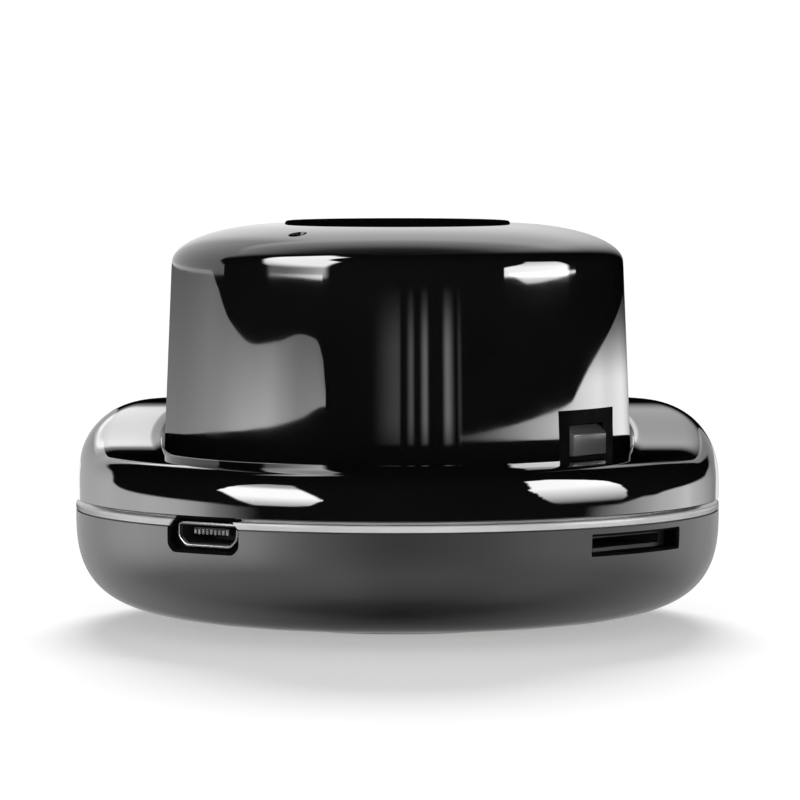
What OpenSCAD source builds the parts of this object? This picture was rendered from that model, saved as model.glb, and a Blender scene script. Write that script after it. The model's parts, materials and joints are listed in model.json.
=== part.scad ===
// Lidar scanner module: a round base with a dark window drum on top. The scan head turns inside
// the drum on a vertical shaft. Millimetres, +Z up, z = 0 is the underside of the foot pad, the
// origin is on the shaft axis, and -Y is the front. Azimuths are degrees from the front towards +X.

/* [Case] */
// Outer radius of the base
base_r = 33.5; // [33.2:0.1:34]
// Height of the lower shell's rim, where the trim ring sits
rim_z = 11.8; // [11.7:0.1:12]
// Height of the trim ring's visible band
ring_h = 0.7; // [0.5:0.1:0.8]
// Gap between the trim ring and the upper cover
seam_gap = 0.35; // [0.2:0.05:0.4]
// Wall thickness of the case shells
wall_t = 1.6; // [1.4:0.1:1.7]
// Height of the cover's top at the front
cover_z = 17.8; // [17.7:0.1:18]
// How much higher the cover's rear shoulder stands
shoulder_rise = 4.4; // [4:0.05:4.8]

/* [Window drum] */
// Outer radius of the drum at the cover's top
drum_foot_r = 24.3; // [24.2:0.05:24.4]
// Outer radius of the drum below its top edge
drum_top_r = 23.5; // [23.4:0.05:23.6]
// Height at which the drum's top edge begins to round
drum_edge_z = 37.3; // [37.2:0.1:37.5]
// Height of the top cap, the module's highest point
top_z = 41.6; // [41.5:0.1:41.8]
// Radius of the matt cap on the drum's roof
cap_r = 11.7; // [11:0.1:12]

/* [Ports and button] */
// Azimuth of the micro USB port
usb_azimuth = -35.5; // [-38:0.1:-33]
// Azimuth of the memory card slot
card_azimuth = 46.7; // [45:0.1:49]
// Azimuth of the mode button in the drum wall
button_azimuth = 54; // [53:0.2:57]
// Inward travel of the mode button
button_travel = 0.5; // [0.3:0.05:0.5]

/* [Mounting] */
// Pitch circle diameter of the threaded mounting inserts
mount_pcd = 38; // [37:0.5:39]
// Number of mounting inserts
mount_count = 3; // [3]
// Bore radius of the mounting inserts, for M3 screws
insert_bore_r = 1.25; // [1.2:0.05:1.3]

/* [Hidden] */
$fn = 96;
eps = 0.05;

// Case
floor_z = 0.6;
floor_r = 9;
bowl_curve_r = 5;
bowl_curve_z = 2.7;
bowl_top_z = rim_z - 0.4;
cover_base_z = rim_z + ring_h + seam_gap;
inner_r = base_r - wall_t;
tongue_t = 0.6;
drum_gap = 0.3;
opening_r = drum_foot_r + drum_gap;
crest_r = 29.4;
skirt_t = 1.6;
skirt_z = 15.4;
shoulder_curve = 3;
shoulder_z = 13.3;
shoulder_z_rise = 2.8;
rise_start_y = -10.5;
rise_end_y = 15.6;
cover_sectors = 72;
outer_steps = 9;
inner_steps = 6;

// Foot pad, screws and inserts
pad_in_r = 11;
pad_out_r = 16;
pad_h = 1.0;
case_screw_r = 13.5;
case_screw_azimuths = [85, 205, 325];
case_boss_r = 2.5;
screw_r = 0.8;
screw_head_r = 1.6;
screw_head_h = 1.1;
screw_clear_r = 1.0;
pilot_r = screw_r + 0.01;
cover_screw_r = 28.8;
cover_screw_azimuths = [10, 100, 190, 280];
insert_r = 2.0;
insert_z = 2.0;
insert_h = 4.0;
insert_boss_r = 3.2;
mount_azimuth = 25;

// Inner stack
board_z = 7.9;
board_t = 1.2;
board_r = 27.5;
board_hole_r = 10.9;
board_top_z = board_z + board_t;
chassis_z = 12.0;
chassis_t = 1.6;
chassis_top_z = chassis_z + chassis_t;
chassis_r = 30.5;
housing_r = 5.6;
bearing_r = 4.5;
bearing_h = 4.0;
lower_bearing_z = 5.0;
upper_bearing_z = 11.4;
shaft_r = 2.0;
shaft_clear = 0.03;
flange_z = chassis_top_z;
flange_h = 1.4;
flange_r = 25.8;

stator_poles = 9;
stator_z0 = 5.3;
stator_z1 = 8.3;

// Drum
drum_wall = 1.5;
roof_rim_r = cap_r + 0.05;
roof_rim_z = 41.3;
cap_seat_z = 41.15;
pinhole_r = 0.95;
pinhole_at = 18.5;
pinhole_azimuth = -33;
notch_w = 9.8;
notch_z0 = 17.4;
notch_z1 = 22.8;

top_board_z = 36.9;
top_board_top_z = top_board_z + 0.8;
top_screw_r = 15;
top_screw_azimuths = [60, 180, 300];

// Ports
usb_recess_w = 8.9;
usb_recess_z = 9.2;
usb_w = 7.5;
usb_h = 2.5;
usb_z = 9.75;
usb_face_r = 32.4;
usb_depth = 6.0;
usb_skin = 0.25;
usb_gasket_r = 30.9;
gasket_t = 0.25;
card_slot_w = 13.4;
card_slot_z0 = 8.9;
card_slot_z1 = 11.15;
card_socket_w = 14.0;
card_socket_h = 1.75;
card_face_r = 30.9;
card_depth = 13.8;

// Button
key_w = 5.9;
key_z0 = 18.1;
key_z1 = 21.2;
key_face_r = 24.2;
key_back_r = 21.2;
key_clear = 0.1;
key_flange_t = 0.55;
bezel_face_r = 23.7;

// Scan head
coil_in_r = 8;
coil_out_r = 14;
coil_h = 1.4;
head_z = 17.2;
head_t = 1.6;
head_r = 17.5;
head_top_z = head_z + head_t;
beam_z = 28;
laser_x = -10;
receiver_x = 5.5;
laser_r = 3.1;
receiver_r = 6.4;
barrel_front_y = -15;
plate_y0 = -9.5;
plate_y1 = -5.5;
plate_z1 = 35.2;
sensor_y = 3;
sensor_t = 1.0;
head_screw_r = 0.55;

function reversed(v) = [for (i = [len(v) - 1 : -1 : 0]) v[i]];
function smooth(t) = let(u = min(max(t, 0), 1)) u * u * (3 - 2 * u);
function rear(y) = smooth((y - rise_start_y) / (rise_end_y - rise_start_y));

// Turns what is drawn at the front to an azimuth
module at_azimuth(a) { rotate([0, 0, a]) children(); }

// A block at the front, from radius v0 out to v1 and from z0 up to z1
module block(w, v0, v1, z0, z1) { translate([-w / 2, -v1, z0]) cube([w, v1 - v0, z1 - z0]); }

module disc(r, z0, z1) { translate([0, 0, z0]) cylinder(r = r, h = z1 - z0); }

module ring(r0, r1, z0, z1) {
    difference() {
        disc(r1, z0, z1);
        disc(r0, z0 - eps, z1 + eps);
    }
}

// A cylinder along Y at height z, from y0 to y1
module rod_y(r, x, z, y0, y1) { translate([x, y0, z]) rotate([-90, 0, 0]) cylinder(r = r, h = y1 - y0); }

// Pan-head screw pointing up, with its head's seat at z
module screw_up(z, len) {
    disc(screw_r, z - eps, z + len);
    difference() {
        disc(screw_head_r, z - screw_head_h, z);
        disc(0.55, z - screw_head_h - eps, z - screw_head_h / 2, $fn = 6);
    }
}

module case_screw_places() {
    for (a = case_screw_azimuths) at_azimuth(a) translate([0, -case_screw_r, 0]) children();
}

module cover_screw_places() {
    for (a = cover_screw_azimuths) at_azimuth(a) translate([0, -cover_screw_r, 0]) children();
}

module top_screw_places() {
    for (a = top_screw_azimuths) at_azimuth(a) translate([0, -top_screw_r, 0]) children();
}

module head_screw_places() {
    for (x = [-7.2, 13.8]) for (z = [22, 31]) translate([x, 0, z]) children();
}

module mount_places() {
    for (i = [0 : mount_count - 1])
        at_azimuth(mount_azimuth + i * 360 / mount_count) translate([0, -mount_pcd / 2, 0]) children();
}

// Points of the bowl's rounded side, from the floor up to its widest place
function bowl(r0, r1, z0, z1) = [for (i = [0 : 20]) let(t = i * 4.5)
    [r0 + (r1 - r0) * pow(sin(t), 2 / bowl_curve_r), z1 - (z1 - z0) * pow(cos(t), 2 / bowl_curve_z)]];

// Recess round the USB port: straight sides, chamfered upper corners
module usb_recess(v0, v1, inset = 0) {
    w = usb_recess_w / 2 - inset;
    chamfer = 1.1;
    foot = 0.7;
    z0 = usb_recess_z + inset;
    z1 = cover_base_z - inset;
    at_azimuth(usb_azimuth) translate([0, -v0, 0]) rotate([90, 0, 0]) linear_extrude(v1 - v0)
        polygon([[-w + foot, z0], [w - foot, z0], [w, z0 + foot], [w, z1 - chamfer],
            [w - chamfer, z1 + eps], [-w + chamfer, z1 + eps], [-w, z1 - chamfer], [-w, z0 + foot]]);
}

module lower_shell() color([0.30, 0.30, 0.31]) {
    difference() {
        union() {
            rotate_extrude() polygon(concat([[0, floor_z]], bowl(floor_r, base_r, floor_z, bowl_top_z),
                [[base_r, rim_z], [inner_r, rim_z]],
                reversed(bowl(floor_r - 1, inner_r, floor_z + wall_t, bowl_top_z)),
                [[0, floor_z + wall_t]]));
            case_screw_places() disc(case_boss_r, floor_z + wall_t - 0.3, board_z);
            mount_places() disc(insert_boss_r, floor_z + wall_t - 0.3, insert_z + insert_h + 0.6);
        }
        ring(pad_in_r - 0.1, pad_out_r + 0.1, 0, pad_h);
        case_screw_places() {
            disc(screw_head_r + 0.2, 0, pad_h + 0.3 + screw_head_h + 0.1);
            disc(screw_clear_r, 0, board_z + 1);
        }
        mount_places() disc(insert_r + 0.01, 0, insert_z + insert_h);
        usb_recess(28, 35);
        at_azimuth(card_azimuth) block(card_slot_w, 28, 35, card_slot_z0, card_slot_z1);
    }
}

module trim_ring() color([0.78, 0.78, 0.79]) {
    difference() {
        union() {
            ring(inner_r - tongue_t, base_r, rim_z, rim_z + ring_h);
            ring(inner_r - tongue_t, inner_r - 0.1, rim_z - 0.5, cover_base_z + 0.5);
        }
        usb_recess(28, 35);
    }
}

// Cover: rings of points round the axis, each closed outline going over the shoulder, down the
// drum opening, out along the skirt and back under the shoulder
function cover_outline(a) = let(
    top = function(r, drop) cover_z + shoulder_rise * rear(-r * cos(a)) - drop,
    foot = function(r, drop) shoulder_z + shoulder_z_rise * rear(-r * cos(a)) - drop,
    arc_r = function(r, t) crest_r + (r - crest_r) * pow(cos(t), 2 / shoulder_curve),
    arc_z = function(q, t, drop) foot(q, drop) + (top(q, drop) - foot(q, drop)) * pow(sin(t), 2 / shoulder_curve))
    concat([[base_r, cover_base_z]],
        [for (i = [0 : outer_steps]) let(t = 90 * i / outer_steps, r = arc_r(base_r, t)) [r, arc_z(r, t, 0)]],
        [[opening_r, top(opening_r, 0)], [opening_r, skirt_z], [opening_r + skirt_t, skirt_z],
            [opening_r + skirt_t, top(opening_r + skirt_t, wall_t)]],
        [for (i = [inner_steps : -1 : 0]) let(t = 90 * i / inner_steps, r = arc_r(inner_r, t))
            [r, arc_z(r, t, i == 0 ? 0.6 : wall_t * sin(t) + 0.6 * (1 - sin(t)))]],
        [[inner_r, cover_base_z]]);

module cover_body() {
    n = len(cover_outline(0));
    points = [for (s = [0 : cover_sectors - 1]) let(a = s * 360 / cover_sectors)
        for (p = cover_outline(a)) [p[0] * sin(a), -p[0] * cos(a), p[1]]];
    faces = [for (s = [0 : cover_sectors - 1]) for (i = [0 : n - 1])
        let(s2 = (s + 1) % cover_sectors, j = (i + 1) % n,
            a = s * n + i, b = s * n + j, c = s2 * n + j, d = s2 * n + i)
        for (f = [[a, b, c], [a, c, d]]) f];
    polyhedron(points = points, faces = faces, convexity = 8);
}

module upper_cover() color([0.07, 0.07, 0.075]) {
    difference() {
        union() {
            cover_body();
            for (a = cover_screw_azimuths) at_azimuth(a) translate([0, -cover_screw_r, 0])
                disc(2.1, chassis_top_z, cover_z + shoulder_rise * rear(-cover_screw_r * cos(a)) - 1);
        }
        cover_screw_places() disc(pilot_r, chassis_top_z - eps, cover_z - wall_t);
    }
}

// Quarter ellipse of the drum's roof, from the wall's top edge in to the cap
function roof(r_out, z_rim) = [for (i = [0 : 12]) let(t = i * 90 / 12)
    [roof_rim_r + (r_out - roof_rim_r) * cos(t), drum_edge_z + (z_rim - drum_edge_z) * sin(t)]];

// Outline of the drum: outer side from the flange up to the cap seat, then the inner side down
module scan_window() color([0.03, 0.03, 0.035]) {
    difference() {
        union() {
            rotate_extrude() polygon(concat(
                [[drum_foot_r - drum_wall, flange_z], [flange_r, flange_z], [flange_r, flange_z + flange_h],
                    [drum_foot_r, flange_z + flange_h], [drum_foot_r, cover_z]],
                roof(drum_top_r, roof_rim_z), [[roof_rim_r, cap_seat_z], [0, cap_seat_z],
                    [0, cap_seat_z - drum_wall]],
                reversed(roof(drum_top_r - drum_wall, cap_seat_z - drum_wall)),
                [[drum_foot_r - drum_wall, cover_z]]));
            top_screw_places() disc(1.8, top_board_top_z, cap_seat_z - 1);
        }
        at_azimuth(button_azimuth) block(notch_w, 18, 26, notch_z0, notch_z1);
        at_azimuth(pinhole_azimuth) translate([0, -pinhole_at, 0]) disc(pinhole_r, 36, 43);
        top_screw_places() disc(pilot_r, 36, cap_seat_z - 1.5);
    }
}
module top_cap() color([0.02, 0.02, 0.02]) {
    rotate_extrude() polygon([[0, cap_seat_z], [cap_r, cap_seat_z], [cap_r, top_z - 0.15],
        [cap_r - 0.3, top_z], [0, top_z]]);
}

module window_gasket() color([0.1, 0.1, 0.1]) ring(opening_r, flange_r, flange_z + flange_h, skirt_z);

module foot_pad() color([0.05, 0.05, 0.05]) {
    rotate_extrude() polygon([[pad_in_r, 0.2], [pad_in_r + 0.2, 0], [pad_out_r - 0.2, 0],
        [pad_out_r, 0.2], [pad_out_r, pad_h], [pad_in_r, pad_h]]);
}

module mount_inserts() color([0.78, 0.62, 0.3]) {
    mount_places() difference() {
        disc(insert_r, insert_z, insert_z + insert_h);
        disc(insert_bore_r, insert_z - eps, insert_z + insert_h + eps);
    }
}

module case_screws() color([0.6, 0.6, 0.62]) {
    seat = pad_h + 0.3 + screw_head_h + 0.1;
    case_screw_places() screw_up(seat, chassis_z - 0.4 - seat);
}

module cover_screws() color([0.6, 0.6, 0.62]) cover_screw_places() screw_up(chassis_z, 3.2);

module chassis_plate() color([0.55, 0.56, 0.58]) {
    difference() {
        union() {
            disc(chassis_r, chassis_z, chassis_top_z);
            case_screw_places() disc(case_boss_r, board_top_z, chassis_z + eps);
        }
        disc(housing_r + 0.02, board_z, chassis_top_z + 1);
        case_screw_places() disc(pilot_r, board_top_z - eps, chassis_z);
        cover_screw_places() disc(screw_clear_r, chassis_z - eps, chassis_top_z + eps);
        at_azimuth(usb_azimuth) block(9.6, 25.6, 32, chassis_z - eps, chassis_top_z + eps);
        at_azimuth(180) block(9, 21, 22.2, chassis_z - eps, chassis_top_z + eps);
        for (a = [45, 165, 285]) at_azimuth(a) translate([0, -19.5, chassis_z - eps])
            cylinder(r = 2, h = chassis_t + 1);
    }
}

module bearing_housing() color([0.7, 0.7, 0.72]) {
    difference() {
        union() {
            disc(housing_r, lower_bearing_z - 0.4, upper_bearing_z + bearing_h);
            disc(7.5, chassis_top_z, chassis_top_z + 0.9);
        }
        disc(3.4, 0, 20);
        disc(bearing_r + 0.01, 0, lower_bearing_z + bearing_h);
        disc(bearing_r + 0.01, upper_bearing_z, 20);
    }
}

module bearing(z) {
    ring(shaft_r + shaft_clear, 2.8, z, z + bearing_h);
    ring(3.7, bearing_r, z, z + bearing_h);
    ring(2.8, 3.7, z + 0.4, z + bearing_h - 0.4);
}

module lower_bearing() color([0.75, 0.75, 0.77]) bearing(lower_bearing_z);
module upper_bearing() color([0.75, 0.75, 0.77]) bearing(upper_bearing_z);

// A disc with a bore, cut by wedge slots that leave straight-sided teeth round a ring
module motor_core() color([0.45, 0.45, 0.47]) {
    pitch = 360 / stator_poles;
    yoke_r = 6.4;
    half_tooth = 0.65;
    a0 = asin(half_tooth / yoke_r);
    a1 = asin(half_tooth / 9);
    wedge = [[yoke_r, a0], [9, a1], [9.6, pitch / 2], [9, pitch - a1], [yoke_r, pitch - a0]];
    difference() {
        disc(8.5, stator_z0, stator_z1);
        disc(housing_r + 0.01, stator_z0 - eps, stator_z1 + eps);
        for (i = [0 : stator_poles - 1]) at_azimuth(i * pitch) translate([0, 0, stator_z0 - eps])
            linear_extrude(stator_z1 - stator_z0 + 2 * eps)
                polygon([for (p = wedge) [p[0] * sin(p[1]), -p[0] * cos(p[1])]]);
    }
}

module motor_coils() color([0.72, 0.38, 0.18]) {
    for (i = [0 : stator_poles - 1]) at_azimuth(i * 360 / stator_poles) difference() {
        block(2.9, 6.6, 7.9, stator_z0 - 0.7, stator_z1 + 0.7);
        block(1.32, 6, 9, stator_z0 - 0.02, stator_z1 + 0.02);
    }
}

module main_board() color([0.05, 0.28, 0.16]) {
    difference() {
        disc(board_r, board_z, board_top_z);
        disc(board_hole_r, board_z - eps, board_top_z + eps);
        case_screw_places() disc(screw_clear_r, board_z - eps, board_top_z + eps);
    }
}

// Packages on the main board: [azimuth, inner radius, width, depth, height]
chips = [[-80, 15, 7, 7, 1.0], [-120, 17, 5, 4, 0.9], [120, 16.5, 6, 6, 1.0],
    [150, 18, 3.2, 2.5, 1.2], [-150, 18, 3.2, 2.5, 1.2], [0, 18, 9, 3, 1.5], [10, 23.2, 4, 2, 0.8]];
module board_chips() color([0.06, 0.06, 0.065]) {
    for (c = chips) at_azimuth(c[0]) block(c[2], c[1], c[1] + c[3], board_top_z, board_top_z + c[4]);
}

// Face outline of the USB socket: flat top and sides, tapered lower corners
module usb_profile(inset) {
    w = usb_w / 2 - inset;
    z0 = usb_z + inset;
    z1 = usb_z + usb_h - inset;
    polygon([[-w + 0.9, z0], [w - 0.9, z0], [w, z0 + 0.9], [w, z1], [-w, z1], [-w, z0 + 0.9]]);
}

module usb_connector() color([0.8, 0.8, 0.82]) {
    at_azimuth(usb_azimuth) {
        translate([0, -(usb_face_r - usb_depth), 0]) rotate([90, 0, 0]) difference() {
            linear_extrude(usb_depth) usb_profile(0);
            translate([0, 0, 0.6]) linear_extrude(usb_depth) usb_profile(usb_skin);
        }
        block(6, usb_face_r - usb_depth, 27.1, board_top_z, usb_z + 0.02);
    }
}

module usb_contacts() color([0.12, 0.12, 0.12]) {
    at_azimuth(usb_azimuth) {
        block(4.2, usb_face_r - usb_depth + 0.65, usb_face_r - 0.8, 11.0, 11.5);
        for (i = [-2 : 2]) translate([i * 0.65, 0, 0])
            block(0.3, usb_face_r - usb_depth + 0.65, usb_face_r - 0.9, 10.85, 11.01);
    }
}

module card_socket() color([0.08, 0.08, 0.08]) {
    at_azimuth(card_azimuth) difference() {
        block(card_socket_w, card_face_r - card_depth, card_face_r, board_top_z, board_top_z + card_socket_h);
        block(11.2, card_face_r - card_depth + 1, card_face_r + 1, board_top_z + 0.4,
            board_top_z + card_socket_h - 0.35);
    }
}

// Rubber sleeves that line the USB recess, closed round the socket, and the card slot
module port_gaskets() color([0.02, 0.02, 0.02]) {
    intersection() {
        difference() {
            usb_recess(usb_gasket_r, base_r + 1);
            usb_recess(usb_gasket_r + 1.1, base_r + 2, gasket_t);
            at_azimuth(usb_azimuth) translate([0, -usb_gasket_r + 1, 0]) rotate([90, 0, 0])
                linear_extrude(4) usb_profile(0);
        }
        disc(base_r - 0.35, usb_recess_z - 1, cover_base_z);
    }
    intersection() {
        at_azimuth(card_azimuth) difference() {
            block(card_slot_w, card_face_r + 0.02, base_r + 1, card_slot_z0, card_slot_z1);
            block(card_slot_w - 2 * gasket_t, card_face_r - 1, base_r + 2, card_slot_z0 + gasket_t,
                card_slot_z1 - gasket_t);
        }
        disc(base_r - 0.35, card_slot_z0 - 1, card_slot_z1 + 1);
    }
}

module fixed_power_coil() color([0.72, 0.38, 0.18]) {
    ring(coil_in_r, coil_out_r, chassis_top_z, chassis_top_z + coil_h);
}

module index_sensor() color([0.05, 0.05, 0.05]) {
    at_azimuth(140) {
        block(4.4, 14.3, 18.9, chassis_top_z, chassis_top_z + 1.2);
        block(4.4, 14.3, 15.5, chassis_top_z + 1.1, 16.8);
        block(4.4, 17.8, 18.9, chassis_top_z + 1.1, 16.8);
    }
}

module top_board() color([0.05, 0.28, 0.16]) {
    difference() {
        disc(20, top_board_z, top_board_top_z);
        top_screw_places()
            disc(screw_clear_r, top_board_z - eps, top_board_top_z + eps);
    }
}

module top_board_screws() color([0.6, 0.6, 0.62]) {
    top_screw_places() difference() {
        union() {
            disc(screw_r, top_board_z - eps, top_board_top_z + 1.4);
            disc(screw_head_r, top_board_z - 0.8, top_board_z);
        }
        disc(0.55, top_board_z - 1, top_board_z - 0.4, $fn = 6);
    }
}

module status_led() color([0.9, 0.9, 0.85]) {
    at_azimuth(pinhole_azimuth) block(2.0, pinhole_at - 0.6, pinhole_at + 0.6, top_board_top_z,
        top_board_top_z + 0.5);
}

module light_pipe() color([0.15, 0.15, 0.16]) {
    at_azimuth(pinhole_azimuth) translate([0, -pinhole_at, 0]) disc(pinhole_r - 0.02, 38.25, 39.8);
}

module top_flex_cable() color([0.75, 0.45, 0.1]) {
    difference() {
        ring(21.4, 21.6, board_top_z, top_board_top_z);
        translate([-30, -60, 0]) cube([60, 60, 60]);
        for (m = [0, 1]) mirror([m, 0, 0]) translate([3.5, -30, 0]) cube([30, 60, 60]);
    }
    at_azimuth(180) block(7, 19.9, 21.5, top_board_top_z - 0.02, top_board_top_z + 0.18);
}

module button_bezel() color([0.03, 0.03, 0.03]) {
    hole_w = key_w + 2 * key_clear;
    at_azimuth(button_azimuth) difference() {
        union() {
            block(notch_w - 0.1, 21.7, bezel_face_r, notch_z0 + 0.1, notch_z1 - 0.05);
            block(10.8, 21.0, 21.8, 16.4, 23.2);
        }
        block(hole_w, 20, 24, key_z0 - key_clear, key_z1 + key_clear);
        block(hole_w + 1.6, 20, key_back_r + key_flange_t + 0.05, key_z0 - 0.7, key_z1 + 0.7);
    }
}

module button_board() color([0.05, 0.28, 0.16]) {
    at_azimuth(button_azimuth) block(10, 18.4, 19.3, chassis_top_z, 22.8);
}

module button_switch() color([0.2, 0.2, 0.2]) {
    z = (key_z0 + key_z1) / 2;
    at_azimuth(button_azimuth) {
        block(4.5, 19.3, 20.2, z - 1.8, z + 1.8);
        translate([0, -20.6, z]) rotate([-90, 0, 0]) cylinder(r = 0.9, h = 0.6);
    }
}

module mode_button() color([0.30, 0.30, 0.31]) {
    bevel = 1.0;
    at_azimuth(button_azimuth) {
        translate([-key_w / 2, 0, 0]) rotate([90, 0, 90]) linear_extrude(key_w)
            polygon([[-key_back_r, key_z0], [-key_back_r, key_z1], [-key_face_r + bevel, key_z1],
                [-key_face_r, key_z1 - bevel * 0.9], [-key_face_r, key_z0]]);
        block(key_w + 1.4, key_back_r, key_back_r + key_flange_t, key_z0 - 0.6, key_z1 + 0.6);
    }
}

module spindle_shaft() color([0.8, 0.8, 0.82]) disc(shaft_r, 3.2, head_top_z + 1.2);

module rotor_cup() color([0.62, 0.62, 0.65]) {
    difference() {
        disc(10.4, 3.0, 9.6);
        disc(9.7, 4.0, 10);
        disc(shaft_r + 0.01, 3.2, 10);
        for (i = [0 : 4]) at_azimuth(36 + i * 72) translate([0, -6.2, 2.5]) cylinder(r = 1.3, h = 3);
    }
}

module magnet_ring() color([0.3, 0.3, 0.32]) ring(8.85, 9.69, 4.6, 9.2);

module encoder_ring() color([0.08, 0.08, 0.08]) {
    difference() {
        ring(16.1, 17.3, 15.2, head_z);
        for (i = [0 : 29]) at_azimuth(i * 12) block(1.4, 15.5, 18, 15.7, 16.5);
    }
}

module turning_power_coil() color([0.72, 0.38, 0.18]) {
    ring(coil_in_r, coil_out_r, head_z - coil_h, head_z);
}

module head_frame() color([0.08, 0.08, 0.085]) {
    difference() {
        union() {
            disc(head_r, head_z, head_top_z);
            disc(2.95, head_z, head_top_z + 1.2);
            translate([-15, plate_y0, head_top_z - eps]) cube([28, plate_y1 - plate_y0, plate_z1 - head_top_z]);
            for (x = [-8, 13]) translate([x, plate_y1 - 1, head_top_z - eps])
                cube([1.6, sensor_y - plate_y1 + 1, 14]);
        }
        disc(shaft_r + 0.01, head_z - 1, head_top_z + 5);
        rod_y(laser_r + 0.02, laser_x, beam_z, -20, 0);
        rod_y(receiver_r + 0.02, receiver_x, beam_z, -20, 0);
        head_screw_places() rod_y(head_screw_r + 0.01, 0, 0, -0.5, sensor_y + eps);
    }
}

// Lens tube along Y, open at the front and closed by its board at the back
module barrel(r, x, y1) {
    difference() {
        rod_y(r, x, beam_z, barrel_front_y, y1);
        rod_y(r - 0.8, x, beam_z, barrel_front_y - 1, y1 - 1);
    }
}

module laser_barrel() color([0.62, 0.5, 0.28]) barrel(laser_r, laser_x, -2);
module receiver_barrel() color([0.1, 0.1, 0.1]) barrel(receiver_r, receiver_x, sensor_y - 1.2);

// Plano-convex lens with its curved side to the front
module lens(r, x, sag) {
    bulge_r = (r * r + sag * sag) / (2 * sag);
    intersection() {
        rod_y(r, x, beam_z, -14.5, -12.2);
        translate([x, -14.5 + bulge_r, beam_z]) sphere(r = bulge_r);
    }
}

module laser_lens() color([0.5, 0.4, 0.5, 0.6]) lens(laser_r - 0.81, laser_x, 0.6);
module receiver_lens() color([0.4, 0.4, 0.55, 0.6]) lens(receiver_r - 0.81, receiver_x, 1.3);

module sensor_board() color([0.05, 0.28, 0.16]) {
    difference() {
        translate([-9, sensor_y, head_top_z]) cube([24.5, sensor_t, 15.5]);
        head_screw_places() rod_y(head_screw_r + 0.05, 0, 0, sensor_y - eps, sensor_y + sensor_t + eps);
    }
}

module image_sensor() color([0.07, 0.07, 0.08]) {
    translate([receiver_x - 3.5, sensor_y - 1.1, beam_z - 2.5]) cube([7, 1.1, 5]);
}

module head_screws() color([0.6, 0.6, 0.62]) {
    head_screw_places() {
        rod_y(head_screw_r, 0, 0, 0, sensor_y + sensor_t + eps);
        rod_y(1.2, 0, 0, sensor_y + sensor_t, sensor_y + sensor_t + 0.7);
    }
}

module balance_weight() color([0.68, 0.55, 0.3]) {
    difference() {
        ring(9.5, 16.5, head_top_z, head_top_z + 4);
        translate([-30, -60, 0]) cube([60, 69, 60]);
    }
}

lower_shell();
trim_ring();
upper_cover();
scan_window();
top_cap();
window_gasket();
foot_pad();
mount_inserts();
case_screws();
cover_screws();
chassis_plate();
bearing_housing();
lower_bearing();
upper_bearing();
motor_core();
motor_coils();
main_board();
board_chips();
usb_connector();
usb_contacts();
card_socket();
port_gaskets();
fixed_power_coil();
index_sensor();
top_board();
top_board_screws();
status_led();
light_pipe();
top_flex_cable();
button_bezel();
button_board();
button_switch();
mode_button();
spindle_shaft();
rotor_cup();
magnet_ring();
encoder_ring();
turning_power_coil();
head_frame();
laser_barrel();
laser_lens();
receiver_barrel();
receiver_lens();
sensor_board();
image_sensor();
head_screws();
balance_weight();
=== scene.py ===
"""Lidar scanner module: glossy shells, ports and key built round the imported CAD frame, and a studio."""
import json
import math

import bmesh
import bpy
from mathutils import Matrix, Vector

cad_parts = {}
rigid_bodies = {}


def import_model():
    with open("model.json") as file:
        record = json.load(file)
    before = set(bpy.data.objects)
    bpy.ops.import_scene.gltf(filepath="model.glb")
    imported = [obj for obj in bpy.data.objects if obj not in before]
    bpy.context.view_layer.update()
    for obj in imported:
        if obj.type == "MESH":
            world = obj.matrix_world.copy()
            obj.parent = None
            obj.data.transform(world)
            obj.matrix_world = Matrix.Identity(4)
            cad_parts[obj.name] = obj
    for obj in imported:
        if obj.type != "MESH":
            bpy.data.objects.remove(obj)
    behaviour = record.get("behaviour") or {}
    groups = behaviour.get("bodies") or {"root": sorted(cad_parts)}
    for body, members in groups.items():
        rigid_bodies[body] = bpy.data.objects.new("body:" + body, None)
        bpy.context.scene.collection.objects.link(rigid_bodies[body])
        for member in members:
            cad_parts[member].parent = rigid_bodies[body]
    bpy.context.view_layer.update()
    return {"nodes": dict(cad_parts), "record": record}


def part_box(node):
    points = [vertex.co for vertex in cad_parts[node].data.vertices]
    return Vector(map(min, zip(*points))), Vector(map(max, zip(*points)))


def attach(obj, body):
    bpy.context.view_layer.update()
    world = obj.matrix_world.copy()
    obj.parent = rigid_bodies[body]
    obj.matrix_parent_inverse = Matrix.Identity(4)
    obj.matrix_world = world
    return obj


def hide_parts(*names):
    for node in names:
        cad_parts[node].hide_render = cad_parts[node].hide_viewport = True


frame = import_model()

MM = 0.001
SECTORS = 288

# ---------------------------------------------------------------- sizes, in millimetres, from the frame


def low(node, axis):
    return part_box(node)[0][axis] / MM


def high(node, axis):
    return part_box(node)[1][axis] / MM


BASE_R = high("lower_shell", 0)
FLOOR_Z = low("lower_shell", 2)
RIM_Z = high("lower_shell", 2)
RING_TOP = RIM_Z + 0.7
COVER_BASE = RING_TOP + 0.35
REAR_TOP = high("upper_cover", 2)
RISE = 4.4
COVER_Z = REAR_TOP - RISE
DRUM_FOOT_R = 24.3
DRUM_TOP_R = 23.5
DRUM_EDGE_Z = 37.3
ROOF_RIM_Z = 41.3
CAP_R = high("top_cap", 0)
CAP_SEAT = low("top_cap", 2)
TOP_Z = high("top_cap", 2)
ROOF_RIM_R = CAP_R + 0.05
FLANGE_R = high("scan_window", 0)
FLANGE_Z = low("scan_window", 2)
WALL = 1.6
FLOOR_R = 9.0
BOWL_CURVE_R = 5
BOWL_CURVE_Z = 2.7
INNER_R = BASE_R - WALL
OPENING_R = DRUM_FOOT_R + 0.3
SKIRT_Z = high("window_gasket", 2)
CREST_R = 29.4
SHOULDER_CURVE = 3
SHOULDER_Z = 13.3
SHOULDER_Z_RISE = 2.8
RISE_START_Y = -10.5
RISE_END_Y = 15.6
PAD_IN = 11.0
PAD_OUT = high("foot_pad", 0)
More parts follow.
